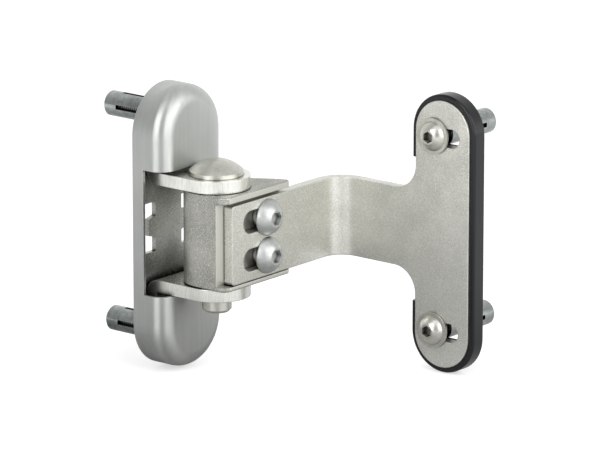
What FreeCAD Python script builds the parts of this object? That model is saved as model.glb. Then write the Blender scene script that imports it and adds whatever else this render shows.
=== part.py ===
import FreeCAD, Part
import os

import Sketcher
from FreeCAD import Placement, Rotation, Vector

# Adjustable gate hinge, in millimetres. The origin is the middle of the post side's back face.
# +X runs along the arm to the gate, -Y points away from the post and +Z up the hinge pin.

doc = FreeCAD.newDocument("gate_hinge")
sheet = doc.addObject("Spreadsheet::Sheet", "Size")

SIZES = [
    ("cover_width", 45.4, "post cover, across"),
    ("cover_height", 136.2, "post cover, end to end"),
    ("cover_depth", 18.6, "post cover, off the post"),
    ("cover_wall", 1.5, "sheet of the post cover"),
    ("cover_edge", 8.0, "outside radius round the cover's front"),
    ("window_gap", 1.2, "cover's window past the ears"),
    ("window_strip", 6.4, "side strip left behind the window"),
    ("plate_thick", 2.5, "base plate"),
    ("plate_gap", 0.1, "base plate inside the cover, all round"),
    ("notch_reach", 9.2, "middle of the plate to its side notches"),
    ("notch_end", 12.0, "end of a side notch, above and below the middle"),
    ("tab_reach", 14.0, "middle of the plate to the end of the tab in a notch"),
    ("tab_root", 5.2, "half the tab at its root"),
    ("tab_tip", 4.0, "half the tab at its end"),
    ("fixing_inset", 15.5, "post fixings from the cover's ends"),
    ("pin_offset", 32.0, "hinge pin's axis in front of the post"),
    ("ear_width", 32.0, "ear of the folded bracket, across"),
    ("ear_thick", 6.0, "plate of the folded bracket"),
    ("ear_gap", 46.0, "between the two ears"),
    ("ear_drop", 0.8, "middle of the ears below the cover's middle"),
    ("ear_bend", 1.0, "inside radius of the bracket's fold"),
    ("leg_inset", 6.6, "end of the bracket's leg from the cover's end"),
    ("leg_flat", 2.0, "straight half of the leg's end, between its rounded corners"),
    ("pin_radius", 7.0, "hinge pin"),
    ("pin_head_radius", 12.8, "hinge pin's head"),
    ("pin_head_rim", 2.0, "straight edge of the pin's head"),
    ("pin_head_dome", 5.4, "dome of the pin's head over its edge"),
    ("pin_tail", 8.0, "pin past the lower ear"),
    ("pin_chamfer", 1.3, "chamfer on the pin's end"),
    ("press_gap", 0.02, "round a pressed piece"),
    ("running_gap", 0.05, "round the pin in its bushes"),
    ("knuckle_gap", 0.25, "knuckle clear of each ear"),
    ("knuckle_lift", 0.1, "bush flange clear of the ear"),
    ("eye_radius", 15.4, "knuckle round the pin"),
    ("back_radius", 67.0, "long curve of the knuckle's back"),
    ("knuckle_reach", 32.9, "pin to the knuckle's free end"),
    ("channel_back", 12.6, "pin to the face that the arm lies on"),
    ("flange_depth", 5.4, "flanges past that face"),
    ("upper_flange", 3.35, "knuckle's flange above the arm"),
    ("lower_flange", 2.15, "knuckle's flange below the arm"),
    ("flange_corner", 4.5, "rounded corner of a flange by the pin"),
    ("flange_end_corner", 1.5, "rounded corner of a flange's free end"),
    ("channel_fillet", 0.5, "fillet inside the channel"),
    ("casting_edge", 0.8, "softened edge of the casting"),
    ("bush_wall", 1.45, "wall of a bush"),
    ("bush_length", 13.0, "bush in the knuckle"),
    ("bush_flange_wide", 2.5, "flange of a bush past its outside"),
    ("bush_flange_thick", 1.0, "flange of a bush"),
    ("bush_seat_gap", 0.3, "round the flange of a bush in its seat"),
    ("slide_gap", 0.1, "between faces that slide"),
    ("arm_thick", 5.0, "plate of the arm"),
    ("play_above", 1.7, "arm below the upper flange"),
    ("play_below", 0.3, "arm above the lower flange"),
    ("arm_inset", 5.8, "arm's end inside the knuckle's side"),
    ("arm_corner", 1.5, "rounded corner of the arm's end"),
    ("arm_reach", 69.0, "pin to the front of the gate head"),
    ("bend_radius", 10.0, "inside radius of the arm's bend"),
    ("head_near", 64.0, "pin to the near side of the gate head"),
    ("head_width", 31.2, "gate head, across"),
    ("head_height", 128.8, "gate head, end to end"),
    ("neck_fillet", 12.5, "fillet between the arm and the gate head"),
    ("clamp_place", 16.2, "pin to the clamp screws"),
    ("clamp_head_gap", 0.4, "clamp screw's head to the arm's middle"),
    ("clamp_slot_length", 23.8, "slot in the arm for a clamp screw"),
    ("clamp_slot_past", 0.6, "clamp slot's travel past the screw"),
    ("slot_gap", 0.5, "round a screw in its slot"),
    ("clamp_radius", 5.0, "clamp screw's shank"),
    ("clamp_length", 16.0, "clamp screw under its head"),
    ("clamp_head_radius", 8.75, "clamp screw's head"),
    ("clamp_head_rim", 0.6, "edge of the clamp screw's head"),
    ("clamp_head_height", 5.5, "clamp screw's head"),
    ("clamp_flat", 4.2, "flat top of the clamp screw's head"),
    ("clamp_socket", 6.0, "hexagon socket across its flats"),
    ("clamp_hole_spare", 1.0, "tapped hole past the screw's end"),
    ("head_slot_length", 20.0, "slot in the gate head"),
    ("head_slot_inset", 17.4, "slots from the gate head's ends"),
    ("fixing_play", 0.4, "gate fixing short of its slot's end"),
    ("pad_gap", 0.2, "pad's rim round the gate head"),
    ("pad_rim", 2.6, "pad's rim"),
    ("pad_floor", 3.2, "pad behind the gate head"),
    ("pad_rim_height", 4.0, "pad's rim over its floor"),
    ("pad_edge", 1.0, "rounded edge of the pad's rim"),
    ("pad_opening_gap", 3.5, "opening in the rim past the neck's fillet"),
    ("fixing_radius", 4.0, "fixing screw's shank"),
    ("fixing_length", 40.0, "fixing screw under its head"),
    ("fixing_flange_radius", 8.75, "fixing screw's flange"),
    ("fixing_flange_thick", 1.2, "fixing screw's flange"),
    ("fixing_dome_radius", 7.0, "dome on the fixing screw's flange"),
    ("fixing_head_height", 4.6, "fixing screw's head"),
    ("fixing_flat", 3.4, "flat top of the fixing screw's head"),
    ("fixing_socket", 5.0, "hexagon socket across its flats"),
    ("fixing_hole_gap", 0.3, "round the fixing screw in its hole"),
    ("socket_depth", 2.6, "depth of a hexagon socket"),
    ("shank_chamfer", 0.8, "chamfer on a shank's end"),
    ("sleeve_radius", 6.0, "expanding sleeve"),
    ("sleeve_length", 34.0, "expanding sleeve"),
    ("sleeve_ring", 8.0, "closed ring at the sleeve's far end"),
    ("sleeve_collar", 5.0, "closed ring at the sleeve's near end"),
    ("sleeve_slot", 2.2, "slot along the sleeve"),
    ("sleeve_chamfer", 1.0, "chamfer on the sleeve's far end"),
    ("sleeve_gap", 0.3, "round a sleeve in its recess"),
    ("sleeve_recess", 1.2, "recess for the sleeves in the back of the base plate and of the pad"),
    ("thread_gap", 0.05, "round a screw in its thread"),
]

for row, (alias, number, meaning) in enumerate(SIZES, start=1):
    sheet.set(f"A{row}", meaning)
    sheet.set(f"B{row}", str(number))
    sheet.setAlias(f"B{row}", alias)
doc.recompute()

# Places that several pieces share, worked out from the sizes
PIN_Y = "-Size.pin_offset"
EARS_Z = "-Size.ear_drop"
ARM_FACE = "(Size.channel_back + Size.slide_gap + Size.arm_thick)"
FIXING_Z = "(Size.cover_height / 2 - Size.fixing_inset)"
WINDOW_HALF = "(Size.ear_gap / 2 + Size.ear_thick + Size.window_gap)"
KNUCKLE_HALF = "(Size.ear_gap / 2 - Size.knuckle_gap)"
CHANNEL_TOP = f"({KNUCKLE_HALF} - Size.upper_flange)"
CHANNEL_FLOOR = f"(Size.lower_flange - {KNUCKLE_HALF})"
ARM_HALF = f"(({CHANNEL_TOP} - Size.play_above - {CHANNEL_FLOOR} - Size.play_below) / 2)"
ARM_SAG = "((Size.upper_flange + Size.play_above - Size.lower_flange - Size.play_below) / 2)"
ARM_Z = f"(-Size.ear_drop - {ARM_SAG})"
BUSH_RADIUS = "(Size.pin_radius + Size.running_gap + Size.bush_wall)"
BUSH_FLANGE_RADIUS = f"({BUSH_RADIUS} + Size.bush_flange_wide)"
CLAMP_SPREAD = "(Size.clamp_head_radius + Size.clamp_head_gap)"
CLAMP_SLOT_RADIUS = "(Size.clamp_radius + Size.slot_gap)"
CLAMP_SLOT_FAR = f"(Size.clamp_place + {CLAMP_SLOT_RADIUS} + Size.clamp_slot_past)"
HEAD_SLOT_RADIUS = "(Size.fixing_radius + Size.slot_gap)"
HEAD_SLOT_Z = "(Size.head_height / 2 - Size.head_slot_inset)"
SLEEVE_HOLE = "(Size.sleeve_radius + Size.sleeve_gap)"
HEAD_MIDDLE = "(Size.head_near + Size.head_width / 2)"
HEAD_BACK = "(Size.arm_reach + Size.arm_thick)"
PAD_BACK = "(Size.arm_reach + Size.arm_thick + Size.pad_floor)"
PAD_GROWTH = "(Size.pad_gap + Size.pad_rim)"
FIXING_SHIFT = f"(Size.head_slot_length / 2 - {HEAD_SLOT_RADIUS} - Size.fixing_play)"
FIXING_Y = f"(-Size.pin_offset - {HEAD_MIDDLE} + {FIXING_SHIFT})"
LEG_FRONT = "(Size.plate_thick + Size.ear_thick)"
COVER_INNER = "(Size.cover_width / 2 - Size.cover_wall)"
ALONG_Y = Rotation(Vector(1, 0, 0), 90)
ALONG_X = Rotation(Vector(0, 1, 0), -90)


def value(expression):
    """The number that an expression of the sheet's sizes gives."""
    number = sheet.evalExpression(expression)
    return float(getattr(number, "Value", number))


def new_body(label, x="0", y="0", z="0", turn=Rotation()):
    """A body of its own, placed at sizes from the sheet."""
    body = doc.addObject("PartDesign::Body", label)
    body.Label = label
    body.Placement = Placement(Vector(), turn)
    for axis, expression in zip("xyz", (x, y, z)):
        body.setExpression(f"Placement.Base.{axis}", expression)
    return body


def new_sketch(body, plane, offset="0"):
    """A sketch on one of the body's own planes, moved along the plane's normal."""
    sketch = body.newObject("Sketcher::SketchObject", f"{body.Name}_outline")
    support = next(part for part in body.Origin.OriginFeatures if part.Role == plane)
    sketch.AttachmentSupport = (support, "")
    sketch.MapMode = "FlatFace"
    sketch.setExpression("AttachmentOffset.Base.z", offset)
    return sketch


def bind(sketch, kind, geometry, point, expression):
    """Ties one measure of a sketch to the sheet."""
    where = (geometry,) if point is None else (geometry, point)
    index = sketch.addConstraint(Sketcher.Constraint(kind, *where, value(expression)))
    sketch.setExpression(f"Constraints[{index}]", expression)


def draw_outline(sketch, corners):
    """Closes an outline of lines and arcs. A corner is its x and y, and where an arc leads on from
    it, also the arc's turning, its centre and which of the centre's coordinates holds it."""
    count = len(corners)
    points = [Vector(value(corner[0]), value(corner[1]), 0) for corner in corners]
    ends = []
    for i, corner in enumerate(corners):
        start, stop = points[i], points[(i + 1) % count]
        if len(corner) == 2:
            ends.append((sketch.addGeometry(Part.LineSegment(start, stop)), 1, 2))
            continue
        turning, centre_x, centre_y = corner[2:5]
        centre = Vector(value(centre_x), value(centre_y), 0)
        first, last = (start, stop) if turning == "left" else (stop, start)
        circle = Part.Circle(centre, Vector(0, 0, 1), (start - centre).Length)
        arc = Part.ArcOfCircle(circle, circle.parameter(first), circle.parameter(last))
        geometry = sketch.addGeometry(arc)
        ends.append((geometry, 1, 2) if turning == "left" else (geometry, 2, 1))
        if corner[5] == "x":
            bind(sketch, "DistanceX", geometry, 3, centre_x)
        else:
            bind(sketch, "DistanceY", geometry, 3, centre_y)
    for i, corner in enumerate(corners):
        geometry, begin, end = ends[i]
        following, next_begin, next_end = ends[(i + 1) % count]
        sketch.addConstraint(Sketcher.Constraint("Coincident", geometry, end, following, next_begin))
        bind(sketch, "DistanceX", geometry, begin, corner[0])
        bind(sketch, "DistanceY", geometry, begin, corner[1])


def draw_circle(sketch, x, y, radius):
    """A circle with its centre and radius tied to the sheet."""
    centre = Vector(value(x), value(y), 0)
    geometry = sketch.addGeometry(Part.Circle(centre, Vector(0, 0, 1), value(radius)))
    bind(sketch, "DistanceX", geometry, 3, x)
    bind(sketch, "DistanceY", geometry, 3, y)
    bind(sketch, "Radius", geometry, None, radius)


def draw_box(sketch, left, right, low, high):
    """A rectangle between four sizes."""
    draw_outline(sketch, [(left, low), (right, low), (right, high), (left, high)])


def draw_upright_stadium(sketch, middle, half_width, half_height):
    """An upright outline with half-round ends, about x = middle and y = 0."""
    turn = f"({half_height} - {half_width})"
    left, right = f"{middle} - {half_width}", f"{middle} + {half_width}"
    draw_outline(sketch, [
        (left, f"-{turn}", "left", middle, f"-{turn}", "y"),
        (right, f"-{turn}"),
        (right, turn, "left", middle, turn, "y"),
        (left, turn),
    ])


def draw_level_slot(sketch, left, right, level, radius):
    """A lying slot with half-round ends."""
    first, last = f"({left} + {radius})", f"({right} - {radius})"
    draw_outline(sketch, [
        (first, f"{level} - {radius}"),
        (last, f"{level} - {radius}", "left", last, level, "x"),
        (last, f"{level} + {radius}"),
        (first, f"{level} + {radius}", "left", first, level, "x"),
    ])


def pad(body, sketch, length, symmetric=False):
    """Grows a sketch along its plane's normal, or half to each side."""
    feature = body.newObject("PartDesign::Pad", f"{body.Name}_pad")
    feature.Profile = sketch
    feature.SideType = "Symmetric" if symmetric else "One side"
    feature.setExpression("Length", length)
    doc.recompute()
    return feature


def pocket(body, sketch, length, direction):
    """Cuts a sketch into the body: with its plane's normal, against it, or half to each side."""
    before = body.Shape.Volume
    feature = body.newObject("PartDesign::Pocket", f"{body.Name}_pocket")
    feature.Profile = sketch
    feature.SideType = "Symmetric" if direction == "both" else "One side"
    feature.Reversed = direction == "with"
    feature.setExpression("Length", length)
    doc.recompute()
    if body.Shape.Volume > before - 0.01:
        raise RuntimeError(f"a pocket in {body.Label} cut nothing")
    return feature


def revolve(body, sketch):
    """Turns a profile once round the body's own Z axis."""
    feature = body.newObject("PartDesign::Revolution", f"{body.Name}_turned")
    feature.Profile = sketch
    feature.ReferenceAxis = (sketch, ["V_Axis"])
    feature.Angle = 360
    doc.recompute()
    return feature


def fillet(body, radius, chosen):
    """Rounds the edges of the body that a test picks."""
    base = body.Tip
    edges = [f"Edge{i}" for i, edge in enumerate(base.Shape.Edges, start=1) if chosen(edge)]
    if not edges:
        raise RuntimeError(f"no edge to round in {body.Label}")
    feature = body.newObject("PartDesign::Fillet", f"{body.Name}_fillet")
    feature.Base = (base, edges)
    feature.setExpression("Radius", radius)
    doc.recompute()
    return feature


def near(first, second):
    return abs(first - second) < 0.01


def is_parallel(edge, direction):
    """Whether an edge is straight and lies along a direction."""
    if not isinstance(edge.Curve, Part.Line):
        return False
    return abs(edge.Curve.Direction.dot(direction)) > 0.999


def edge_at(direction, **place):
    """A test for straight edges along a direction, whose middle has the given coordinates."""
    def chosen(edge):
        middle = edge.CenterOfMass
        return is_parallel(edge, direction) and all(
            any(near(getattr(middle, axis), wanted) for wanted in numbers)
            for axis, numbers in place.items())
    return chosen


def level_edge(height):
    """A test for edges that lie wholly at one height."""
    return lambda edge: near(edge.BoundBox.ZMin, height) and near(edge.BoundBox.ZMax, height)


X_AXIS, Y_AXIS, Z_AXIS = Vector(1, 0, 0), Vector(0, 1, 0), Vector(0, 0, 1)


# Post cover: a drawn stainless shell with rounded edges, open at its back and with a window
# through its front and sides that leaves two domes and two low side strips

def make_post_cover():
    body = new_body("post_cover")
    outline = new_sketch(body, "XZ_Plane")
    draw_upright_stadium(outline, "0", "Size.cover_width / 2", "Size.cover_height / 2")
    pad(body, outline, "Size.cover_depth")
    hollow = new_sketch(body, "XZ_Plane")
    draw_upright_stadium(hollow, "0", COVER_INNER, "(Size.cover_height / 2 - Size.cover_wall)")
    pocket(body, hollow, "Size.cover_depth - Size.cover_wall", "with")
    floor = value("Size.cover_wall - Size.cover_depth")
    fillet(body, "Size.cover_edge - Size.cover_wall",
           lambda edge: near(edge.BoundBox.YMin, floor) and near(edge.BoundBox.YMax, floor))
    front = -value("Size.cover_depth")
    fillet(body, "Size.cover_edge",
           lambda edge: near(edge.BoundBox.YMin, front) and near(edge.BoundBox.YMax, front))
    window = new_sketch(body, "XZ_Plane", "Size.window_strip")
    draw_box(window, "-Size.cover_width", "Size.cover_width", f"-{WINDOW_HALF}", WINDOW_HALF)
    pocket(body, window, "Size.cover_depth", "with")
    return body


# Base plate: lies on the post inside the cover; a notch in each side has a tapered tab in its middle

def make_base_plate():
    body = new_body("base_plate")
    outline = new_sketch(body, "XZ_Plane")
    draw_upright_stadium(outline, "0", f"({COVER_INNER} - Size.plate_gap)",
                         "(Size.cover_height / 2 - Size.cover_wall - Size.plate_gap)")
    pad(body, outline, "Size.plate_thick")
    notches = new_sketch(body, "XZ_Plane")
    for side in ("", "-"):
        half = [("Size.cover_width / 2", "Size.notch_end"), ("Size.notch_reach", "Size.notch_end"),
                ("Size.notch_reach", "Size.tab_root"), ("Size.tab_reach", "Size.tab_tip")]
        upper = [(f"{side}{across}", along) for across, along in half]
        lower = [(f"{side}{across}", f"-{along}") for across, along in reversed(half)]
        draw_outline(notches, upper + lower)
    pocket(body, notches, "Size.plate_thick", "with")
    holes = new_sketch(body, "XZ_Plane")
    recesses = new_sketch(body, "XZ_Plane")
    for end in ("", "-"):
        draw_circle(holes, "0", f"{end}{FIXING_Z}", "(Size.fixing_radius + Size.fixing_hole_gap)")
        draw_circle(recesses, "0", f"{end}{FIXING_Z}", SLEEVE_HOLE)
    pocket(body, holes, "Size.plate_thick", "with")
    pocket(body, recesses, "Size.sleeve_recess", "with")
    return body


# Ear bracket: thick plate folded to an L, its leg screwed to the post inside a dome and its ear
# coming out of the window to hold one end of the pin

def make_ear_bracket(label, end):
    body = new_body(label)
    inner = f"({EARS_Z} {end} Size.ear_gap / 2)"
    outer = f"({EARS_Z} {end} (Size.ear_gap / 2 + Size.ear_thick))"
    tip = f"({end} (Size.cover_height / 2 - Size.leg_inset))"
    fold_y = f"-({LEG_FRONT} + Size.ear_bend)"
    fold_z = f"({outer} {end} Size.ear_bend)"
    nose = "-(Size.pin_offset + Size.ear_width / 2)"
    turning = ("right", "left") if end == "+" else ("left", "right")
    profile = new_sketch(body, "YZ_Plane")
    draw_outline(profile, [
        (nose, inner),
        (fold_y, inner, turning[1], fold_y, fold_z, "x"),
        ("-Size.plate_thick", fold_z),
        ("-Size.plate_thick", tip),
        (f"-{LEG_FRONT}", tip),
        (f"-{LEG_FRONT}", fold_z, turning[0], fold_y, fold_z, "x"),
        (fold_y, outer),
        (nose, outer),
    ])
    pad(body, profile, "Size.ear_width", symmetric=True)
    half = "Size.ear_width / 2"
    tip_z = value(tip)
    fillet(body, f"{half} - Size.leg_flat", edge_at(Y_AXIS, z=[tip_z]))
    round_end = new_sketch(body, "XY_Plane", outer)
    draw_outline(round_end, [
        (f"-{half} - 1", PIN_Y),
        (f"-{half}", PIN_Y, "left", "0", PIN_Y, "y"),
        (half, PIN_Y),
        (f"{half} + 1", PIN_Y),
        (f"{half} + 1", f"{nose} - 1"),
        (f"-{half} - 1", f"{nose} - 1"),
    ])
    pocket(body, round_end, "3 * Size.ear_thick", "both")
    eye = new_sketch(body, "XY_Plane", outer)
    draw_circle(eye, "0", PIN_Y, "(Size.pin_radius + Size.press_gap)")
    pocket(body, eye, "3 * Size.ear_thick", "both")
    hole = new_sketch(body, "XZ_Plane")
    draw_circle(hole, "0", f"({end} {FIXING_Z})", "(Size.fixing_radius + Size.fixing_hole_gap)")
    pocket(body, hole, f"2 * {LEG_FRONT}", "with")
    return body


# Hinge pin: turned, with a wide domed head on the upper ear and a chamfered end

def make_hinge_pin():
    body = new_body("hinge_pin", y=PIN_Y, z=f"{EARS_Z} + Size.ear_gap / 2 + Size.ear_thick")
    end = "-(Size.ear_gap + 2 * Size.ear_thick + Size.pin_tail)"
    rise = "Size.pin_head_dome"
    radius = "Size.pin_head_radius"
    dome_centre = f"(Size.pin_head_rim + ({rise} ^ 2 - {radius} ^ 2) / (2 * {rise}))"
    profile = new_sketch(body, "XZ_Plane")
    draw_outline(profile, [
        ("0", end),
        ("Size.pin_radius - Size.pin_chamfer", end),
        ("Size.pin_radius", f"{end} + Size.pin_chamfer"),
        ("Size.pin_radius", "0"),
        (radius, "0"),
        (radius, "Size.pin_head_rim", "left", "0", dome_centre, "x"),
        ("0", f"Size.pin_head_rim + {rise}"),
    ])
    revolve(body, profile)
    return body


# Cast knuckle: an eye on the pin, running out into a channel that holds the arm

def draw_knuckle_plan(sketch):
    """Eye, long curved back and straight front, with the two curves tangent to each other."""
    eye, back = value("Size.eye_radius"), value("Size.back_radius")
    front = "(Size.channel_back + Size.flange_depth)"
    end = Vector(value("Size.knuckle_reach"), -value(front), 0)
    # The back's centre is where both the free end and the eye are at their own distance from it
    between = back - eye
    along = (end.Length ** 2 + between ** 2 - back ** 2) / (2 * end.Length)
    outward = end.normalize() if end.Length else end
    across = Vector(outward.y, -outward.x, 0)
    centre = outward * along + across * (between ** 2 - along ** 2) ** 0.5
    touch = centre * (-eye / between)
    tip = Vector(value("Size.knuckle_reach"), -value(front), 0)
    up = Vector(0, 0, 1)
    eye_circle, back_circle = Part.Circle(Vector(), up, eye), Part.Circle(centre, up, back)
    heel = Vector(-eye, 0, 0)
    corner = Vector(-eye, -value(front), 0)
    eye_arc = sketch.addGeometry(
        Part.ArcOfCircle(eye_circle, eye_circle.parameter(touch), eye_circle.parameter(heel)))
    back_arc = sketch.addGeometry(
        Part.ArcOfCircle(back_circle, back_circle.parameter(tip), back_circle.parameter(touch)))
    side = sketch.addGeometry(Part.LineSegment(heel, corner))
    face = sketch.addGeometry(Part.LineSegment(corner, tip))
    sketch.addConstraint(Sketcher.Constraint("Coincident", eye_arc, 3, -1, 1))
    sketch.addConstraint(Sketcher.Constraint("Tangent", eye_arc, 1, back_arc, 2))
    sketch.addConstraint(Sketcher.Constraint("Coincident", eye_arc, 2, side, 1))
    sketch.addConstraint(Sketcher.Constraint("Coincident", side, 2, face, 1))
    sketch.addConstraint(Sketcher.Constraint("Coincident", face, 2, back_arc, 1))
    sketch.addConstraint(Sketcher.Constraint("PointOnObject", side, 1, -1))
    sketch.addConstraint(Sketcher.Constraint("Vertical", side))
    bind(sketch, "Radius", eye_arc, None, "Size.eye_radius")
    bind(sketch, "Radius", back_arc, None, "Size.back_radius")
    bind(sketch, "DistanceY", side, 2, f"-{front}")
    bind(sketch, "DistanceX", face, 2, "Size.knuckle_reach")
    bind(sketch, "DistanceY", face, 2, f"-{front}")


def make_knuckle():
    body = new_body("knuckle", y=PIN_Y, z=EARS_Z)
    plan = new_sketch(body, "XY_Plane")
    draw_knuckle_plan(plan)
    pad(body, plan, f"2 * {KNUCKLE_HALF}", symmetric=True)
    front = -value("Size.channel_back + Size.flange_depth")
    fillet(body, "Size.flange_corner", edge_at(Z_AXIS, x=[-value("Size.eye_radius")], y=[front]))
    fillet(body, "Size.flange_end_corner", edge_at(Z_AXIS, x=[value("Size.knuckle_reach")], y=[front]))
    half = value(KNUCKLE_HALF)
    fillet(body, "Size.casting_edge", lambda edge: level_edge(half)(edge) or level_edge(-half)(edge))
    channel = new_sketch(body, "YZ_Plane")
    draw_box(channel, "-(Size.channel_back + 2 * Size.flange_depth)", "-Size.channel_back",
             CHANNEL_FLOOR, CHANNEL_TOP)
    pocket(body, channel, "2 * (Size.eye_radius + Size.knuckle_reach)", "both")
    fillet(body, "Size.channel_fillet",
           edge_at(X_AXIS, y=[-value("Size.channel_back")], z=[value(CHANNEL_FLOOR), value(CHANNEL_TOP)]))
    bore = new_sketch(body, "XY_Plane")
    draw_circle(bore, "0", "0", f"({BUSH_RADIUS} + Size.press_gap)")
    pocket(body, bore, f"4 * {KNUCKLE_HALF}", "both")
    seat_depth = "(Size.bush_flange_thick - Size.knuckle_gap + Size.knuckle_lift)"
    for end, direction in (("", "against"), ("-", "with")):
        seat = new_sketch(body, "XY_Plane", f"{end}{KNUCKLE_HALF}")
        draw_circle(seat, "0", "0", f"({BUSH_FLANGE_RADIUS} + Size.bush_seat_gap)")
        pocket(body, seat, seat_depth, direction)
    tapped = new_sketch(body, "XZ_Plane", "Size.channel_back")
    for end in ("+", "-"):
        draw_circle(tapped, "Size.clamp_place", f"(-{ARM_SAG} {end} {CLAMP_SPREAD})",
                    "(Size.clamp_radius + Size.thread_gap)")
    grip = "(Size.clamp_length - Size.arm_thick - 2 * Size.slide_gap)"
    pocket(body, tapped, f"{grip} + Size.clamp_hole_spare", "against")
    return body


# Flanged bush: pressed into each end of the knuckle's bore, its flange facing the ear

def make_pin_bush(label, end):
    sign = 1 if end == "+" else -1
    turn = Rotation() if sign > 0 else Rotation(X_AXIS, 180)
    body = new_body(label, y=PIN_Y, z=f"{EARS_Z} {end} (Size.ear_gap / 2 - Size.knuckle_lift)", turn=turn)
    inner = "Size.pin_radius + Size.running_gap"
    profile = new_sketch(body, "XZ_Plane")
    draw_outline(profile, [
        (inner, "-Size.bush_length"),
        (BUSH_RADIUS, "-Size.bush_length"),
        (BUSH_RADIUS, "-Size.bush_flange_thick"),
        (BUSH_FLANGE_RADIUS, "-Size.bush_flange_thick"),
        (BUSH_FLANGE_RADIUS, "0"),
        (inner, "0"),
    ])
    revolve(body, profile)
    return body


# Arm: thick plate with slots, folded once and spreading into the gate head

def make_gate_arm():
    body = new_body("gate_arm", y=PIN_Y, z=ARM_Z)
    face = f"-{ARM_FACE}"
    back = "-(Size.channel_back + Size.slide_gap)"
    far_side = "-(Size.head_near + Size.head_width)"
    start = "(Size.arm_inset - Size.eye_radius)"
    bend_x = "(Size.arm_reach - Size.bend_radius)"
    bend_y = f"-({ARM_FACE} + Size.bend_radius)"
    plan = new_sketch(body, "XY_Plane")
    draw_outline(plan, [
        (start, face),
        (bend_x, face, "right", bend_x, bend_y, "x"),
        ("Size.arm_reach", bend_y),
        ("Size.arm_reach", far_side),
        (HEAD_BACK, far_side),
        (HEAD_BACK, bend_y, "left", bend_x, bend_y, "x"),
        (bend_x, back),
        (start, back),
    ])
    pad(body, plan, "Size.head_height", symmetric=True)
    waste = new_sketch(body, "YZ_Plane")
    edge = ARM_HALF
    turn = "(Size.head_height / 2 - Size.head_width / 2)"
    fillet_y = "-(Size.head_near - Size.neck_fillet)"
    for side, turning in (("", "right"), ("-", "left")):
        head_turning = "left" if side == "" else "right"
        draw_outline(waste, [
            ("Size.eye_radius", f"{side}{edge}"),
            (fillet_y, f"{side}{edge}", turning, fillet_y,
             f"{side}({edge} + Size.neck_fillet)", "x"),
            ("-Size.head_near", f"{side}({edge} + Size.neck_fillet)"),
            ("-Size.head_near", f"{side}{turn}", head_turning, f"-{HEAD_MIDDLE}",
             f"{side}{turn}", "y"),
            (far_side, f"{side}{turn}"),
            (f"{far_side} - 1", f"{side}{turn}"),
            (f"{far_side} - 1", f"{side}(Size.head_height / 2 + 1)"),
            ("Size.eye_radius", f"{side}(Size.head_height / 2 + 1)"),
        ])
    pocket(body, waste, f"3 * {HEAD_BACK}", "both")
    edge_z = value(edge)
    fillet(body, "Size.arm_corner",
           edge_at(Y_AXIS, x=[value(start)], z=[-edge_z, edge_z]))
    clamp_slots = new_sketch(body, "XZ_Plane", ARM_FACE)
    for end in ("", "-"):
        draw_level_slot(clamp_slots, f"({CLAMP_SLOT_FAR} - Size.clamp_slot_length)", CLAMP_SLOT_FAR,
                        f"{end}{CLAMP_SPREAD}", CLAMP_SLOT_RADIUS)
    pocket(body, clamp_slots, "3 * Size.arm_thick", "both")
    head_slots = new_sketch(body, "YZ_Plane", "Size.arm_reach")
    draw_head_slots(head_slots, HEAD_SLOT_RADIUS)
    pocket(body, head_slots, "3 * Size.arm_thick", "both")
    return body


def draw_head_slots(sketch, radius):
    """The two slots for the gate fixings, on the same centres in the gate head and in its pad."""
    reach = f"(Size.head_slot_length / 2 - {HEAD_SLOT_RADIUS} + {radius})"
    for end in ("", "-"):
        draw_level_slot(sketch, f"(-{HEAD_MIDDLE} - {reach})", f"(-{HEAD_MIDDLE} + {reach})",
                        f"{end}{HEAD_SLOT_Z}", radius)


# Gate pad: moulded seat behind the gate head, its rim open where the arm comes in

def make_gate_pad():
    body = new_body("gate_pad", y=PIN_Y, z=ARM_Z)
    outline = new_sketch(body, "YZ_Plane", PAD_BACK)
    draw_upright_stadium(outline, f"-{HEAD_MIDDLE}", f"(Size.head_width / 2 + {PAD_GROWTH})",
                         f"(Size.head_height / 2 + {PAD_GROWTH})")
    solid = pad(body, outline, "Size.pad_floor + Size.pad_rim_height")
    solid.Reversed = True
    doc.recompute()
    front = value(f"{HEAD_BACK} - Size.pad_rim_height")
    fillet(body, "Size.pad_edge",
           lambda edge: near(edge.BoundBox.XMin, front) and near(edge.BoundBox.XMax, front))
    recess = new_sketch(body, "YZ_Plane", HEAD_BACK)
    draw_upright_stadium(recess, f"-{HEAD_MIDDLE}", "(Size.head_width / 2 + Size.pad_gap)",
                         "(Size.head_height / 2 + Size.pad_gap)")
    pocket(body, recess, "2 * Size.pad_rim_height", "against")
    opening = new_sketch(body, "YZ_Plane", HEAD_BACK)
    draw_box(opening, f"-{HEAD_MIDDLE}", f"-(Size.head_near - 2 * {PAD_GROWTH})",
             f"-({ARM_HALF} + Size.neck_fillet + Size.pad_opening_gap)",
             f"({ARM_HALF} + Size.neck_fillet + Size.pad_opening_gap)")
    pocket(body, opening, "2 * Size.pad_rim_height", "against")
    slots = new_sketch(body, "YZ_Plane", HEAD_BACK)
    draw_head_slots(slots, HEAD_SLOT_RADIUS)
    pocket(body, slots, "3 * Size.pad_floor", "both")
    grooves = new_sketch(body, "YZ_Plane", PAD_BACK)
    draw_head_slots(grooves, SLEEVE_HOLE)
    pocket(body, grooves, "Size.sleeve_recess", "against")
    return body


# Button-headed screws: turned head and shank, with a hexagon socket. The head stands on its own
# z = 0 plane and the shank points down from it

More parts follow.
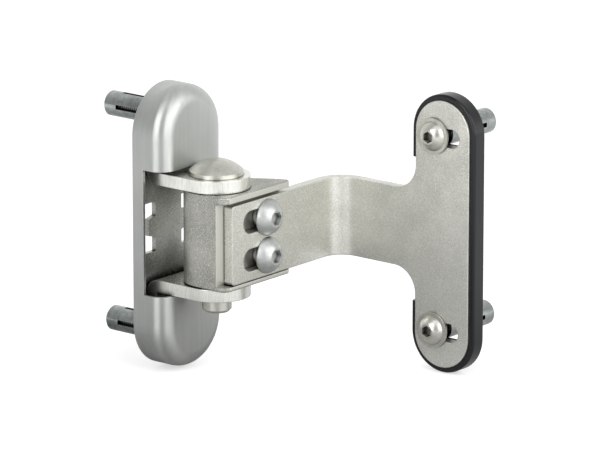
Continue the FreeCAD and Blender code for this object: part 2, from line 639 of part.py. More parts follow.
def make_screw(label, place, turn, kind, length, head_radius, rim, flat, dome_radius=None):
    body = new_body(label, *place, turn=turn)
    radius = f"Size.{kind}_radius"
    height = f"Size.{kind}_head_height"
    dome = dome_radius or head_radius
    dome_centre = f"(({dome} ^ 2 + {rim} ^ 2 - {flat} ^ 2 - {height} ^ 2) / (2 * ({rim} - {height})))"
    corners = [
        ("0", f"-{length}"),
        (f"{radius} - Size.shank_chamfer", f"-{length}"),
        (radius, f"-{length} + Size.shank_chamfer"),
        (radius, "0"),
        (head_radius, "0"),
    ]
    if dome_radius:
        corners.append((head_radius, rim))
    corners += [
        (dome, rim, "left", "0", dome_centre, "x"),
        (flat, height),
        ("0", height),
    ]
    profile = new_sketch(body, "XZ_Plane")
    draw_outline(profile, corners)
    revolve(body, profile)
    socket = new_sketch(body, "XY_Plane", height)
    across = f"Size.{kind}_socket / 2 / cos(30 deg)"
    draw_outline(socket, [(f"{across} * cos({angle} deg)", f"{across} * sin({angle} deg)")
                          for angle in range(0, 360, 60)])
    pocket(body, socket, "Size.socket_depth", "against")
    return body


def make_fixing_screw(label, place, turn):
    return make_screw(label, place, turn, "fixing", "Size.fixing_length",
                      "Size.fixing_flange_radius", "Size.fixing_flange_thick", "Size.fixing_flat",
                      dome_radius="Size.fixing_dome_radius")


def make_clamp_screw(label, end):
    place = ("Size.clamp_place", f"{PIN_Y} - {ARM_FACE} - Size.slide_gap",
             f"{ARM_Z} {end} {CLAMP_SPREAD}")
    return make_screw(label, place, ALONG_Y, "clamp", "Size.clamp_length",
                      "Size.clamp_head_radius", "Size.clamp_head_rim", "Size.clamp_flat")


# Expanding sleeve: a tube with four slots between its closed ends, the far end threaded

def make_sleeve(label, place, turn):
    body = new_body(label, *place, turn=turn)
    slack = "Size.fixing_radius + Size.fixing_hole_gap"
    thread = "Size.fixing_radius + Size.thread_gap"
    end = "-Size.sleeve_length"
    profile = new_sketch(body, "XZ_Plane")
    draw_outline(profile, [
        (thread, end),
        ("Size.sleeve_radius - Size.sleeve_chamfer", end),
        ("Size.sleeve_radius", f"{end} + Size.sleeve_chamfer"),
        ("Size.sleeve_radius", "0"),
        (slack, "0"),
        (slack, f"{end} + Size.sleeve_ring"),
        (thread, f"{end} + Size.sleeve_ring"),
    ])
    revolve(body, profile)
    reach, half = "2 * Size.sleeve_radius", "Size.sleeve_slot / 2"
    for angle in (0, 90):
        slot = new_sketch(body, "XY_Plane", "-Size.sleeve_collar")
        if angle:
            draw_box(slot, f"-{half}", half, f"-{reach}", reach)
        else:
            draw_box(slot, f"-{reach}", reach, f"-{half}", half)
        pocket(body, slot, "Size.sleeve_length - Size.sleeve_collar - Size.sleeve_ring", "against")
    return body


parts = [
    make_post_cover(),
    make_base_plate(),
    make_hinge_pin(),
    make_knuckle(),
    make_gate_arm(),
    make_gate_pad(),
]
for name, end in (("top", "+"), ("bottom", "-")):
    fixing_z = f"{end} {FIXING_Z}"
    parts.append(make_ear_bracket(f"ear_bracket_{name}", end))
    parts.append(make_pin_bush(f"pin_bush_{name}", end))
    parts.append(make_fixing_screw(f"post_screw_{name}", ("0", f"-{LEG_FRONT}", fixing_z), ALONG_Y))
    parts.append(make_sleeve(f"post_sleeve_{name}",
                             ("0", "Size.slide_gap - Size.sleeve_recess", fixing_z), ALONG_Y))
for name, end in (("upper", "+"), ("lower", "-")):
    slot_z = f"{ARM_Z} {end} {HEAD_SLOT_Z}"
    parts.append(make_clamp_screw(f"clamp_screw_{name}", end))
    parts.append(make_fixing_screw(f"gate_screw_{name}",
                                   ("Size.arm_reach - Size.slide_gap", FIXING_Y, slot_z), ALONG_X))
    parts.append(make_sleeve(f"gate_sleeve_{name}",
                             (f"{PAD_BACK} - Size.sleeve_recess + Size.slide_gap", FIXING_Y, slot_z), ALONG_X))

doc.recompute()
for item in doc.Objects:
    if {"Invalid", "Error"} & set(item.State):
        raise RuntimeError(f"{item.Label} failed: {item.State}")
for part in parts:
    if part.Shape.isNull() or not part.Shape.isValid() or len(part.Shape.Solids) != 1:
        raise RuntimeError(f"{part.Label} isn't one valid solid")

os.makedirs("parts", exist_ok=True)
for part in parts:
    part.Shape.exportStep(f"parts/{part.Label}.step")
    box = part.Shape.BoundBox
    print(f"{part.Label:20s} {part.Shape.Volume:9.1f} mm3  x {box.XMin:7.2f} {box.XMax:7.2f}  "
          f"y {box.YMin:7.2f} {box.YMax:7.2f}  z {box.ZMin:7.2f} {box.ZMax:7.2f}")
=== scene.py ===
# %% [markdown]
# # An adjustable gate hinge
# The hinge's solids come from the CAD model, in metres and already in place. This lesson gives them
# their finishes, adds the screw threads that are too fine for the solids, and sets up the studio.

# %% Load the hinge
import bmesh
import bpy
import math
from mathutils import Matrix, Vector


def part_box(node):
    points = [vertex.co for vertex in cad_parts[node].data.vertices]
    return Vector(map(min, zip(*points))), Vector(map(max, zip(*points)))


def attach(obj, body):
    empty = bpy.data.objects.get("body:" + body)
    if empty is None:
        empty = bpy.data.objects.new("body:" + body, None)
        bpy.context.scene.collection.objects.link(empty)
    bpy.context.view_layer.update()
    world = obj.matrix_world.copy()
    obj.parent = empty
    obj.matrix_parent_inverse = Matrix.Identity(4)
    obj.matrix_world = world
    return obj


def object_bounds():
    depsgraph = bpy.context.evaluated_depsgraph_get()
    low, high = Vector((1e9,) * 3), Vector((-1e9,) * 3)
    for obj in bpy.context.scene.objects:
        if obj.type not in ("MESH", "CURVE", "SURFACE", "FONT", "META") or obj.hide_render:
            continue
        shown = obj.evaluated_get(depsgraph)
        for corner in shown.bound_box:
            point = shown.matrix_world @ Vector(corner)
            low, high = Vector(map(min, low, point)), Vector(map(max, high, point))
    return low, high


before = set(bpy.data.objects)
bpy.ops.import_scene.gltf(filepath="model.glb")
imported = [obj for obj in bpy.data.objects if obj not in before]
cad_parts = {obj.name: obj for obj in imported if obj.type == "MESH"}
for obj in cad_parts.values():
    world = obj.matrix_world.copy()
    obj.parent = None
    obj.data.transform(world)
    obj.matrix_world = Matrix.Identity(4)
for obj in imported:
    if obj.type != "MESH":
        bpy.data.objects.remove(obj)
cad_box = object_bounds()
MM = 0.001
print("pieces loaded:", len(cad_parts))

# %% [markdown]
# ## The camera
# The hinge was photographed from its left and a little above, from far off with a long lens, so its
# upright edges stay parallel. A camera can be aimed by hand in the viewport, but here the angles and
# the distance are known, so a direction and a target point place it exactly.

# %% Place the camera
VIEW_AZIMUTH, VIEW_ELEVATION = 309.3, 14.8
CAMERA_DISTANCE = 2.5
LENS = 321
AIM = Vector((25.4, -61.6, 3.3)) * MM


def direction(azimuth, elevation):
    """A unit vector from the hinge: azimuth 0 is -Y and 90 is +X, in degrees."""
    across, up = math.radians(azimuth), math.radians(elevation)
    return Vector((math.sin(across) * math.cos(up), -math.cos(across) * math.cos(up), math.sin(up)))


to_camera = direction(VIEW_AZIMUTH, VIEW_ELEVATION)
camera = bpy.data.objects.new("camera", bpy.data.cameras.new("camera"))
camera.data.lens = LENS
camera.data.clip_start, camera.data.clip_end = 0.1, 20
camera.location = AIM + to_camera * CAMERA_DISTANCE
camera.rotation_mode = "QUATERNION"
camera.rotation_quaternion = (-to_camera).to_track_quat("-Z", "Y")
bpy.context.scene.collection.objects.link(camera)
bpy.context.scene.camera = camera
bpy.context.scene.view_settings.view_transform = "Standard"
print("camera at", [round(c, 3) for c in camera.location])

# %% [markdown]
# ## Two small helpers
# Colours are picked on screen as sRGB hex codes, but Blender's shaders work with linear light, so one
# function turns a code into linear numbers. The other adds a shader node with its settings and links,
# which keeps each material readable from top to bottom.

# %% Helpers for colours and nodes
def linear(code):
    """An sRGB hex code as linear red, green and blue, with alpha."""
    channels = [int(code[i:i + 2], 16) / 255 for i in (1, 3, 5)]
    return [c / 12.92 if c <= 0.04045 else ((c + 0.055) / 1.055) ** 2.4 for c in channels] + [1.0]


def add_node(owner, kind, inputs=None, **settings):
    """Adds a node, then fills each input with a value or links it from another node's socket."""
    node = owner.node_tree.nodes.new(kind)
    for name, setting in settings.items():
        setattr(node, name, setting)
    for key, source in (inputs or {}).items():
        if isinstance(source, bpy.types.NodeSocket):
            owner.node_tree.links.new(source, node.inputs[key])
        else:
            node.inputs[key].default_value = source
    return node


# A Mix node has sockets of every kind under the same names, so they go by number
SHARE = 0
FIRST_NUMBER, SECOND_NUMBER, MIXED_NUMBER = 2, 3, 0
FIRST_COLOUR, SECOND_COLOUR, MIXED_COLOUR = 6, 7, 2
print("mid grey is", round(linear("#808080")[0], 3), "in linear light")

# %% [markdown]
# ## What all the metals share: a pattern
# Stainless steel shows its making: polishing leaves fine lines, blasting leaves grit, rolling leaves
# flecks. All of them are a pattern that varies the colour and the gloss a little and dents the
# surface by a few microns. Pictures of real metal could be wrapped round each piece, but noise in
# Object coordinates needs no unwrapping, and its spacing can be given in millimetres.

# %% Grain, blotches and flecks
FLECK_CONTRAST = 1.6


def metal_pattern(finish, place, grain_mm, blotch_mm, fleck_mm):
    """The grain, the flecks if the metal has them, and the sum that drives colour and gloss."""
    per_metre = [1 / (spacing * MM) for spacing in grain_mm]
    stretched = add_node(finish, "ShaderNodeMapping", {"Vector": place, "Scale": per_metre})
    grain = add_node(finish, "ShaderNodeTexNoise",
                     {"Vector": stretched.outputs["Vector"], "Scale": 1.0, "Detail": 3.0,
                      "Roughness": 0.6})
    blotches = add_node(finish, "ShaderNodeTexNoise",
                        {"Vector": place, "Scale": 1 / (blotch_mm * MM), "Detail": 2.0})
    pattern = add_node(finish, "ShaderNodeMath",
                       {0: grain.outputs["Fac"], 1: blotches.outputs["Fac"]}, operation="ADD")
    if not fleck_mm:
        return grain, None, pattern
    # The flecks' noise is 0.5 on average, so half their contrast is taken off again
    flecks = add_node(finish, "ShaderNodeTexNoise",
                      {"Vector": place, "Scale": 1 / (fleck_mm * MM), "Detail": 1.0})
    pattern = add_node(finish, "ShaderNodeMath",
                       {0: flecks.outputs["Fac"], 1: FLECK_CONTRAST, 2: pattern.outputs["Value"]},
                       operation="MULTIPLY_ADD")
    pattern = add_node(finish, "ShaderNodeMath",
                       {0: pattern.outputs["Value"], 1: FLECK_CONTRAST / 2}, operation="SUBTRACT")
    return grain, flecks, pattern


print("a 0.5 mm fleck repeats", round(1 / (0.5 * MM)), "times per metre")

# %% [markdown]
# ## What all the metals share: colour, painted glints and painted shade
# The pattern runs from a dark to a light colour of the same metal. Where a fleck is brightest, a
# painted white glint stands for a highlight. A casting is brighter where it is milled, and the way a
# face looks tells which ones are. Sockets, slots, inner corners and the places where pieces touch get
# painted shade, a darker colour where less light reaches. It could be painted on by hand, but an
# Ambient Occlusion node finds such places on every piece by itself.

# %% Colour, milled faces and painted shade
PATTERN_LOW, PATTERN_HIGH = 0.7, 1.3
GLINT_STARTS, GLINT_FULL = 0.66, 0.74
MILLED_STARTS, MILLED_FULL = 0.97, 0.99
CLOSED_IN, OPEN = 0.35, 0.9


def metal_colour(finish, flecks, pattern, dark, light, milled, crevice_mm, painted_shade, slides):
    """The socket with the metal's colour, painted glints, painted shade and all."""
    tone = add_node(finish, "ShaderNodeMapRange",
                    {"Value": pattern.outputs["Value"], "From Min": PATTERN_LOW,
                     "From Max": PATTERN_HIGH})
    colour = add_node(finish, "ShaderNodeMix",
                      {SHARE: tone.outputs["Result"], FIRST_COLOUR: linear(dark),
                       SECOND_COLOUR: linear(light)}, data_type="RGBA")
    # Painted highlight: where a fleck is brightest, its colour turns white as a glint.
    if flecks is not None:
        glints = add_node(finish, "ShaderNodeMapRange",
                          {"Value": flecks.outputs["Fac"], "From Min": GLINT_STARTS,
                           "From Max": GLINT_FULL})
        colour = add_node(finish, "ShaderNodeMix",
                          {SHARE: glints.outputs["Result"],
                           FIRST_COLOUR: colour.outputs[MIXED_COLOUR],
                           SECOND_COLOUR: linear("#FFFFFF")}, data_type="RGBA")
    if milled:
        turned_to = add_node(finish, "ShaderNodeTexCoord").outputs["Normal"]
        square = add_node(finish, "ShaderNodeVectorMath", {0: turned_to, 1: (0, -1, 0)},
                          operation="DOT_PRODUCT")
        cut = add_node(finish, "ShaderNodeMapRange",
                       {"Value": square.outputs["Value"], "From Min": MILLED_STARTS,
                        "From Max": MILLED_FULL})
        colour = add_node(finish, "ShaderNodeMix",
                          {SHARE: cut.outputs["Result"], FIRST_COLOUR: colour.outputs[MIXED_COLOUR],
                           SECOND_COLOUR: linear(milled)}, data_type="RGBA")
    # Painted shade: the colour darkens in corners and where pieces touch, but a piece that slides
    # gets it only from its own corners
    corners = add_node(finish, "ShaderNodeAmbientOcclusion", {"Distance": crevice_mm * MM},
                       samples=8, only_local=slides)
    unshaded_share = add_node(finish, "ShaderNodeMapRange",
                     {"Value": corners.outputs["AO"], "From Min": CLOSED_IN, "From Max": OPEN,
                      "To Min": painted_shade, "To Max": 1.0})
    colour = add_node(finish, "ShaderNodeMix",
                      {SHARE: 1.0, FIRST_COLOUR: colour.outputs[MIXED_COLOUR],
                       SECOND_COLOUR: unshaded_share.outputs["Result"]},
                      data_type="RGBA", blend_type="MULTIPLY")
    return colour.outputs[MIXED_COLOUR]


print("grime starts where less than", OPEN, "of the surroundings is open")

# %% [markdown]
# ## What all the metals share: the shader
# Cut edges are slightly broken, and catch the light as thin lines. A Bevel modifier would round them
# in the mesh, but the CAD mesh stays as it is, so a Bevel node only bends the normals near an edge.
# The grain dents the surface through a Bump node. Each finish then gives its own numbers to one
# function.

# %% A function for worked metal
def worked_metal(name, dark, light, roughness, grain_mm, relief_mm, edge_mm=0.25, blotch_mm=14,
                 spread=0.0, fleck_mm=0.0, crevice_mm=1.6, painted_shade=0.30, milled=None,
                 slides=False, uneven=0.10):
    """A metal whose grain is spaced by grain_mm along X, Y and Z, and is relief_mm deep.

    edge_mm rounds its edges. blotch_mm spaces its cloudy patches and fleck_mm its flecks. spread
    draws its highlights out along Z. Painted shade reaches crevice_mm out of a corner, where the
    colour is multiplied by painted_shade. milled is the colour of the faces square to -Y. slides is
    for a piece that slides in another, which then takes painted shade only from its own corners.
    uneven is how much the pattern changes the roughness.
    """
    finish = bpy.data.materials.new(name)
    finish.use_nodes = True
    shader = finish.node_tree.nodes["Principled BSDF"]
    links = finish.node_tree.links
    place = add_node(finish, "ShaderNodeTexCoord").outputs["Object"]
    grain, flecks, pattern = metal_pattern(finish, place, grain_mm, blotch_mm, fleck_mm)
    colour = metal_colour(finish, flecks, pattern, dark, light, milled, crevice_mm, painted_shade, slides)
    gloss = add_node(finish, "ShaderNodeMapRange",
                     {"Value": pattern.outputs["Value"], "From Min": PATTERN_LOW,
                      "From Max": PATTERN_HIGH, "To Min": roughness + 0.6 * uneven,
                      "To Max": roughness - 0.4 * uneven})
    edge = add_node(finish, "ShaderNodeBevel", {"Radius": edge_mm * MM}, samples=6)
    dents = add_node(finish, "ShaderNodeBump",
                     {"Height": grain.outputs["Fac"], "Distance": relief_mm * MM,
                      "Strength": 1.0, "Normal": edge.outputs["Normal"]})
    shader.inputs["Metallic"].default_value = 1.0
    if spread:
        shader.inputs["Anisotropic"].default_value = spread
        shader.inputs["Anisotropic Rotation"].default_value = 0.25
        around = add_node(finish, "ShaderNodeTangent", direction_type="RADIAL", axis="Z")
        links.new(around.outputs["Tangent"], shader.inputs["Tangent"])
    links.new(colour, shader.inputs["Base Color"])
    links.new(gloss.outputs["Result"], shader.inputs["Roughness"])
    links.new(dents.outputs["Normal"], shader.inputs["Normal"])
    return finish


def finish_nodes(finish, *names):
    """Gives a finish to CAD nodes."""
    for name in names:
        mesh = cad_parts[name].data
        mesh.materials.clear()
        mesh.materials.append(finish)
    print(finish.name, "on", ", ".join(names))


# %% [markdown]
# ## The post cover
# It is deep-drawn stainless sheet with a satin finish that draws each highlight out into an upright
# band over the rounded sides. A band could be painted on, but it would stay put when the view
# changes, so the shader is anisotropic round Z, and the band moves as the real one does. Faint
# upright lines 1.6 mm apart are coarser than the real ones, which are too fine to see from here.

# %% Satin drawn stainless
satin_drawn_stainless = worked_metal("satin_drawn_stainless", "#BFC2BF", "#C9CBC9", roughness=0.40,
                                     grain_mm=(1.6, 1.6, 40), relief_mm=0.0002, edge_mm=0.3,
                                     blotch_mm=22, spread=0.8, uneven=0.04)
finish_nodes(satin_drawn_stainless, "post_cover")

# %% [markdown]
# ## The base plate
# It is rolled sheet, plain and fairly glossy, and the cover and the brackets shut most of the light
# out. A second lamp setup could shade it alone, but painted shade does the same with one number:
# 19 mm wide and nearly black, it stands for the deep shade near the ears.

# %% Rolled stainless sheet
rolled_plate_stainless = worked_metal("rolled_plate_stainless", "#B6B7B2", "#DAD9D4",
                                      roughness=0.26, grain_mm=(0.9, 0.9, 0.9), relief_mm=0.006,
                                      crevice_mm=19, painted_shade=0.05)
finish_nodes(rolled_plate_stainless, "base_plate")

# %% [markdown]
# ## The folded brackets
# The two brackets are cut from thick plate, and the cutting leaves bright upright streaks on their
# edges. Modelled streaks would take thousands of faces, and a grain that is stretched along Z takes
# none. The streaks are 0.7 mm apart, coarser than the real ones.

# %% Cut stainless plate
cut_plate_stainless = worked_metal("cut_plate_stainless", "#D6D6CF", "#FAFAF5", roughness=0.28,
                                   grain_mm=(0.7, 0.7, 6), relief_mm=0.012, edge_mm=0.5)
finish_nodes(cut_plate_stainless, "ear_bracket_top", "ear_bracket_bottom")

# %% [markdown]
# ## The knuckle
# A cast stainless block, blasted with fine glass beads. Blasting scatters the light, so the block
# looks grey and matte beside the polished pieces, with small painted glints. A Displace modifier
# could make the dents, but a bump is enough at this distance. The grit of about half a millimetre is
# coarser than the real one. The faces square to -Y, where the arm is clamped, are milled and stay
# brighter.

# %% Blasted cast stainless
# Painted shade darkens the knuckle nearly to black in its corners and where other pieces touch it.
blasted_cast_stainless = worked_metal("blasted_cast_stainless", "#9E9F98", "#C2C2BA",
                                      roughness=0.46, grain_mm=(0.7, 0.7, 1.2), relief_mm=0.010,
                                      edge_mm=0.6, fleck_mm=0.45, milled="#D9D9D2", painted_shade=0.08)
finish_nodes(blasted_cast_stainless, "knuckle")

# %% [markdown]
# ## The arm
# Thick stainless plate with the mill's fine, dull surface, which shows light and dark flecks and
# small painted glints. They are about half a millimetre wide here, twice the real ones. The arm
# slides in the knuckle, so it takes painted shade only from its own corners, and the painted shade
# doesn't move when the arm does.

# %% Mill-finish stainless plate
mill_plate_stainless = worked_metal("mill_plate_stainless", "#CDCDC6", "#EAEAE3", roughness=0.38,
                                    grain_mm=(0.8, 0.8, 0.6), relief_mm=0.006, edge_mm=0.7,
                                    fleck_mm=0.45, slides=True)
finish_nodes(mill_plate_stainless, "gate_arm")

# %% [markdown]
# ## Pin and screws
# The pin and most screws are turned stainless, smooth and slightly warm. Turning leaves rings on the
# pin's domed head that draw its highlight out, so it is anisotropic as the cover is. The two clamp
# screws are tumbled after turning, which makes them matter and a little cooler.

# %% Turned and tumbled stainless
# Painted shade draws a thin dark line where the pin meets other pieces.
turned_pin_stainless = worked_metal("turned_pin_stainless", "#C3C2BA", "#D6D5CD", roughness=0.34,
                                    grain_mm=(1.5, 1.5, 1.5), relief_mm=0.001, edge_mm=0.2,
                                    blotch_mm=7, spread=0.7, crevice_mm=0.7, painted_shade=0.10)
finish_nodes(turned_pin_stainless, "hinge_pin")
# Painted shade reaches 4 mm into the screws' sockets and darkens them.
turned_screw_stainless = worked_metal("turned_screw_stainless", "#C3C2BA", "#D9D8D0",
                                      roughness=0.30, grain_mm=(1.5, 1.5, 1.5), relief_mm=0.0015,
                                      edge_mm=0.2, blotch_mm=5, crevice_mm=4.0, painted_shade=0.10)
finish_nodes(turned_screw_stainless, "post_screw_top", "post_screw_bottom",
             "gate_screw_upper", "gate_screw_lower")
tumbled_stainless = worked_metal("tumbled_stainless", "#BCBFBE", "#CFD1CF", roughness=0.42,
                                 grain_mm=(1.5, 1.5, 1.5), relief_mm=0.003, edge_mm=0.2,
                                 blotch_mm=5)
finish_nodes(tumbled_stainless, "clamp_screw_upper", "clamp_screw_lower")

# %% [markdown]
# ## The sleeves
# Steel tubes with bright zinc, bluer and glossier than the screws, and painted shade makes them dark
# inside. A chrome-like mirror would be easier, but real zinc is a little cloudy, so its patches are
# 9 mm wide.

# %% Bright zinc
# Painted shade reaches 5 mm in and darkens the inside of the sleeves.
bright_zinc = worked_metal("bright_zinc", "#868C89", "#B0B6B3", roughness=0.16,
                           grain_mm=(2.0, 2.0, 2.0), relief_mm=0.001, edge_mm=0.2, blotch_mm=9,
                           crevice_mm=5.0, painted_shade=0.08)
finish_nodes(bright_zinc, "post_sleeve_top", "post_sleeve_bottom", "gate_sleeve_upper",
             "gate_sleeve_lower")

# %% [markdown]
# ## Pad and bushes
# The pad is moulded polyamide with a fine spark-eroded texture, black right through, and a low sheen
# that draws a pale line along its rounded rim. The bushes are of the same material, but smoother.
# Plastic is not a metal, so its reflection comes from its IOR of about 1.53 and not from its colour.

# %% Moulded black polyamide
def moulded_plastic(name, dark, light, roughness, grit_mm, relief_mm):
    """A plastic with a moulded grit of the given size and depth."""
    finish = bpy.data.materials.new(name)
    finish.use_nodes = True
    shader = finish.node_tree.nodes["Principled BSDF"]
    place = add_node(finish, "ShaderNodeTexCoord").outputs["Object"]
    grit = add_node(finish, "ShaderNodeTexNoise",
                    {"Vector": place, "Scale": 1 / (grit_mm * MM), "Detail": 2.0})
    colour = add_node(finish, "ShaderNodeMix",
                      {SHARE: grit.outputs["Fac"], FIRST_COLOUR: linear(dark),
                       SECOND_COLOUR: linear(light)}, data_type="RGBA")
    edge = add_node(finish, "ShaderNodeBevel", {"Radius": 0.4 * MM}, samples=6)
    dents = add_node(finish, "ShaderNodeBump",
                     {"Height": grit.outputs["Fac"], "Distance": relief_mm * MM,
                      "Strength": 1.0, "Normal": edge.outputs["Normal"]})
    shader.inputs["IOR"].default_value = 1.53
    shader.inputs["Specular IOR Level"].default_value = 0.4
    shader.inputs["Roughness"].default_value = roughness
    finish.node_tree.links.new(colour.outputs[MIXED_COLOUR], shader.inputs["Base Color"])
    finish.node_tree.links.new(dents.outputs["Normal"], shader.inputs["Normal"])
    return finish


textured_polyamide = moulded_plastic("textured_polyamide", "#06080A", "#0D1014", roughness=0.18,
                                     grit_mm=0.6, relief_mm=0.004)
finish_nodes(textured_polyamide, "gate_pad")
smooth_polyamide = moulded_plastic("smooth_polyamide", "#0D0D0D", "#151515", roughness=0.35,
                                   grit_mm=1.5, relief_mm=0.005)
finish_nodes(smooth_polyamide, "pin_bush_top", "pin_bush_bottom")

# %% [markdown]
# ## The screw threads
# A thread is a ridge that climbs the shank by one pitch for each turn: 1.25 mm on the M8 fixing
# screws and 1.5 mm on the M10 clamp screws. A Screw modifier could make it, but the spin operator
# does the same in a mesh, because it moves the section a little along the axis at each step. The
# ridge stands on the CAD shank and shows in the sleeves' slots and in the slots of the arm. Its
# colour is nearly black, painted shade for the shade in those slots.

# %% A threaded ridge
TURN_STEPS = 20
ROOT_SUNK, RIDGE_HEIGHT = 0.05, 0.22
FLANK_SHARE, CREST_SHARE = 0.42, 0.08
# Painted shade: the thread's colour is nearly black, for the shade in the slots where it shows.
painted_shade_thread = worked_metal("painted_shade_thread", "#2C2B2A", "#4C4B48", roughness=0.30,
                            grain_mm=(1.0, 1.0, 1.0), relief_mm=0.002, edge_mm=0.1, blotch_mm=6)


def thread_ridge(name, body, node, axis, first, last, shank=4.0, pitch=1.25):
    """A thread round the axis of a CAD screw, between two distances from its head's end, in mm."""
    low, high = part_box(node)
    head_end = Vector([low[i] if axis[i] > 0 else high[i] for i in range(3)])
    centre = (low + high) / 2
    for i in range(3):
        if axis[i]:
            centre[i] = head_end[i]
    mesh = bmesh.new()
    inner, outer = shank - ROOT_SUNK, shank + RIDGE_HEIGHT
    flank, crest = pitch * FLANK_SHARE, pitch * CREST_SHARE
    section = ((inner, -flank), (outer, -crest), (outer, crest), (inner, flank))
    ring = [mesh.verts.new((radius * MM, 0, rise * MM)) for radius, rise in section]
    edges = [mesh.edges.new((ring[i], ring[i + 1])) for i in range(3)]
    turns = int((last - first) / pitch)
    bmesh.ops.spin(mesh, geom=ring + edges, cent=(0, 0, 0), axis=(0, 0, 1),
                   dvec=(0, 0, pitch * MM / TURN_STEPS), angle=2 * math.pi * turns,
                   steps=turns * TURN_STEPS, use_merge=False, use_duplicate=False)
    bmesh.ops.recalc_face_normals(mesh, faces=mesh.faces)
    turn = Vector((0, 0, 1)).rotation_difference(Vector(axis)).to_matrix().to_4x4()
    start = Matrix.Translation(centre + Vector(axis) * first * MM)
    bmesh.ops.transform(mesh, matrix=start @ turn, verts=mesh.verts)
    data = bpy.data.meshes.new(name)
    mesh.to_mesh(data)
    mesh.free()
    for face in data.polygons:
        face.use_smooth = True
    data.materials.append(painted_shade_thread)
    ridge = bpy.data.objects.new(name, data)
    bpy.context.scene.collection.objects.link(ridge)
    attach(ridge, body)
    print(name, "has", turns, "turns and", len(data.polygons), "faces")


# %% Thread the fixing and clamp screws
# The heads' heights, and how far under its head each thread starts and ends, in mm
HEAD, CLAMP_HEAD = 4.6, 5.5
POST_STARTS, GATE_STARTS, FIXING_ENDS = 10, 0.7, 38.5
CLAMP_STARTS, CLAMP_ENDS = 0.6, 5.0
for end in ("top", "bottom"):
    thread_ridge(f"post_thread_{end}", "post_side", f"post_screw_{end}", (0, 1, 0),
                 HEAD + POST_STARTS, HEAD + FIXING_ENDS)
for end in ("upper", "lower"):
    thread_ridge(f"gate_thread_{end}", "gate_fixings", f"gate_screw_{end}", (1, 0, 0),
                 HEAD + GATE_STARTS, HEAD + FIXING_ENDS)
    thread_ridge(f"clamp_thread_{end}", "knuckle_side", f"clamp_screw_{end}", (0, 1, 0),
                 CLAMP_HEAD + CLAMP_STARTS, CLAMP_HEAD + CLAMP_ENDS, shank=5.0, pitch=1.5)

# %% [markdown]
# ## The studio
# A product shot on white has a bright backdrop and a darker room behind the camera. Metal is a
# mirror of that room, so the world is white where the camera looks and grey behind it. A picture of
# a real studio could do the same, but a soft step between two greys is enough and easy to change.
# Camera rays and transmission rays see plain white, so the picture's background is clean.

# %% World light
ROOM_LIGHT, BACKDROP_LIGHT = 0.36, 1.0
ROOM_ENDS, BACKDROP_STARTS = -0.7, 0.8
world = bpy.data.worlds.new("studio")
world.use_nodes = True
bpy.context.scene.world = world
looking = add_node(world, "ShaderNodeTexCoord").outputs["Generated"]
facing = add_node(world, "ShaderNodeVectorMath", {0: looking, 1: -to_camera},
                  operation="DOT_PRODUCT")
room = add_node(world, "ShaderNodeMapRange",
                {"Value": facing.outputs["Value"], "From Min": ROOM_ENDS,
                 "From Max": BACKDROP_STARTS, "To Min": ROOM_LIGHT, "To Max": BACKDROP_LIGHT},
                interpolation_type="SMOOTHSTEP")
ray = add_node(world, "ShaderNodeLightPath")
clear_ray = add_node(world, "ShaderNodeMath",
                     {0: ray.outputs["Is Camera Ray"], 1: ray.outputs["Is Transmission Ray"]},
                     operation="MAXIMUM")
strength = add_node(world, "ShaderNodeMix",
                    {SHARE: clear_ray.outputs["Value"], FIRST_NUMBER: room.outputs["Result"],
                     SECOND_NUMBER: BACKDROP_LIGHT}, data_type="FLOAT")
background = world.node_tree.nodes["Background"]
background.inputs["Color"].default_value = linear("#FFFFFF")
world.node_tree.links.new(strength.outputs[MIXED_NUMBER], background.inputs["Strength"])
print("the room is", ROOM_LIGHT, "as bright as the backdrop")

# %% [markdown]
# ## The floor
# The floor lies just under the lowest point. It is a pale surface that takes the shadow, and it
# glows a little for camera rays, so unshaded floor reads as white. More light would whiten it too,
# but would clip the metal. Metal near the floor mirrors the shade below the hinge, so for glossy
# rays the floor is darker, and its glow grows with the distance from the post.

# %% Floor
FLOOR_HALF_WIDTH = 8
FLOOR_GAP = 0.2 * MM
floor_mesh = bpy.data.meshes.new("floor")
grid = bmesh.new()
bmesh.ops.create_grid(grid, x_segments=1, y_segments=1, size=FLOOR_HALF_WIDTH)
bmesh.ops.translate(grid, vec=(0, 0, cad_box[0].z - FLOOR_GAP), verts=grid.verts)
grid.to_mesh(floor_mesh)
grid.free()
floor = bpy.data.objects.new("floor", floor_mesh)
bpy.context.scene.collection.objects.link(floor)
print("floor at", round((cad_box[0].z - FLOOR_GAP) / MM, 1), "mm")

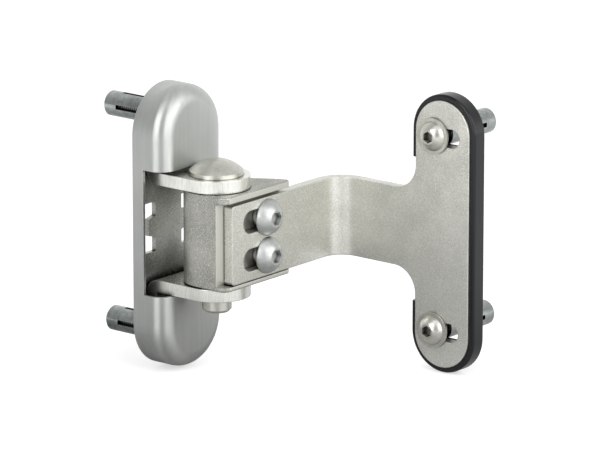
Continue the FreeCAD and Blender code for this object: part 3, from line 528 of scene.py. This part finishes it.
# %% The floor's pale paint
FLOOR_GLOW, MIRRORED_GLOW = 0.55, 0.70
SHADE_ENDS, GLOW_FULL = 0.05, 0.33
pale_floor = bpy.data.materials.new("pale_floor")
pale_floor.use_nodes = True
matte = pale_floor.node_tree.nodes["Principled BSDF"]
matte.inputs["Roughness"].default_value = 1.0
matte.inputs["Specular IOR Level"].default_value = 0.0
path = add_node(pale_floor, "ShaderNodeLightPath")
tint = add_node(pale_floor, "ShaderNodeMix",
                {SHARE: path.outputs["Is Glossy Ray"], FIRST_COLOUR: linear("#D2D2D2"),
                 SECOND_COLOUR: linear("#A0A0A0")}, data_type="RGBA")
pale_floor.node_tree.links.new(tint.outputs[MIXED_COLOUR], matte.inputs["Base Color"])
floor_place = add_node(pale_floor, "ShaderNodeTexCoord").outputs["Object"]
away = add_node(pale_floor, "ShaderNodeVectorMath", {0: floor_place, 1: (0, 0, cad_box[0].z)},
                operation="DISTANCE")
reach = add_node(pale_floor, "ShaderNodeMapRange",
                 {"Value": away.outputs["Value"], "From Min": SHADE_ENDS, "From Max": GLOW_FULL,
                  "To Min": 0.0, "To Max": MIRRORED_GLOW})
mirrored = add_node(pale_floor, "ShaderNodeMath",
                    {0: path.outputs["Is Glossy Ray"], 1: reach.outputs["Result"]},
                    operation="MULTIPLY")
matte.inputs["Emission Color"].default_value = linear("#FFFFFF")
glow = add_node(pale_floor, "ShaderNodeMath",
                {0: path.outputs["Is Camera Ray"], 1: FLOOR_GLOW, 2: mirrored.outputs["Value"]},
                operation="MULTIPLY_ADD")
pale_floor.node_tree.links.new(glow.outputs["Value"], matte.inputs["Emission Strength"])
floor_mesh.materials.append(pale_floor)
print("the mirrored floor glows fully from", GLOW_FULL, "m away")

# %% [markdown]
# ## The lamps
# Two large soft boxes on the left and in front draw the double highlight on the cover. A small one
# on the right and one above fill the sides that they miss. Point lamps would be simpler, but on
# metal they show as small hard spots.

# %% Lamps
LAMP_DISTANCE = 1.6


def soft_box(name, azimuth, elevation, width, height, watts):
    """A rectangular lamp that faces the hinge."""
    lamp = bpy.data.lights.new(name, "AREA")
    lamp.shape = "RECTANGLE"
    lamp.size, lamp.size_y, lamp.energy = width, height, watts
    outward = direction(azimuth, elevation)
    holder = bpy.data.objects.new(name, lamp)
    holder.location = AIM + outward * LAMP_DISTANCE
    holder.rotation_mode = "QUATERNION"
    holder.rotation_quaternion = outward.to_track_quat("Z", "Y")
    bpy.context.scene.collection.objects.link(holder)
    print(name, "gives", watts, "watts")


soft_box("left_box", azimuth=274, elevation=22, width=1.0, height=1.5, watts=11.3)
soft_box("front_box", azimuth=357, elevation=24, width=1.7, height=1.5, watts=17.5)
soft_box("right_box", azimuth=40, elevation=14, width=0.6, height=1.0, watts=2.2)
soft_box("top_box", azimuth=309, elevation=62, width=1.2, height=0.8, watts=3)
